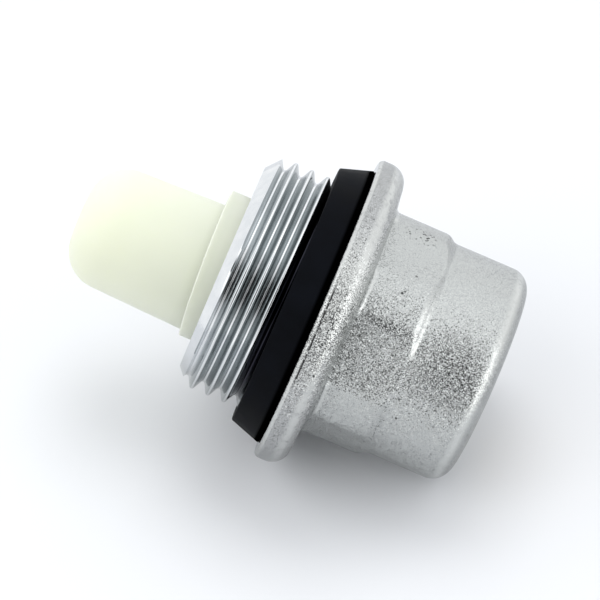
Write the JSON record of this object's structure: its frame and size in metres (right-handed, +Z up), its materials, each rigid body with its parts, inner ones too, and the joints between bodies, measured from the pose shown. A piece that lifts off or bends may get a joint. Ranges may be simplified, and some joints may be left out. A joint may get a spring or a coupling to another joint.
{
  "type": "automatic air vent",
  "caption": "Automatic float air vent: flanged plug body with a pipe thread, hexagon and round cap, tapered gasket, and a hinged float that works a small internal valve.",
  "frame": {"origin": "centre of the gasket's sealing face, on the thread axis", "axes": "+X along the thread axis, out of the radiator towards the cap; +Z up as installed, so the float hangs towards -Z; +Y completes the right-handed frame"},
  "size_m": [0.0589, 0.043, 0.043],
  "materials": {
    "body": "bright zinc-plated casting with fine cast grain, machined thread",
    "gasket": "matte black rubber",
    "carrier": "moulded black acetal",
    "steel": "bright stainless steel sheet and wire",
    "float": "milky translucent polypropylene",
    "brass": "turned brass",
    "seal": "soft black rubber",
    "fibre": "pressed cellulose fibre"
  },
  "bodies": {
    "vent": {"vent_body": "body", "flange_gasket": "gasket", "float_carrier": "carrier", "inlet_strainer": "steel", "retaining_ring": "steel", "hinge_pin": "steel", "hinge_pin_clip": "steel", "seat_insert": "brass", "seat_ring": "seal", "outlet_support": "steel", "fibre_disc_1": "fibre", "fibre_disc_2": "fibre", "fibre_disc_3": "fibre"},
    "float": {"float_cup": "float", "float_base": "float", "float_lever": "steel", "lever_rivets": "steel"},
    "stem": {"valve_stem": "steel", "valve_holder": "brass", "valve_disc": "seal"},
    "screw_ring": {"outlet_ring": "seal"},
    "screw": {"outlet_screw": "brass"}
  },
  "joints": [
    {"name": "float_swing", "type": "hinge", "parent": "vent", "child": "float", "pos_m": [0.005, 0, -0.007], "axis": [0, 1, 0], "range_deg": [0, 6]},
    {"name": "stem_slide", "type": "slide", "parent": "vent", "child": "stem", "axis": [1, 0, 0], "range_m": [0, 0.00075]},
    {"name": "screw_travel", "type": "slide", "parent": "vent", "child": "screw_ring", "axis": [1, 0, 0], "range_m": [0, 0.0005]},
    {"name": "screw_turn", "type": "hinge", "parent": "screw_ring", "child": "screw", "pos_m": [0.0275, 0, 0], "axis": [1, 0, 0], "range_deg": [0, 180]}
  ],
  "couplings": [
    {"joint": "stem_slide", "follows": "float_swing", "m_per_rad": 0.007},
    {"joint": "screw_turn", "follows": "screw_travel", "rad_per_m": 6283.2}
  ]
}
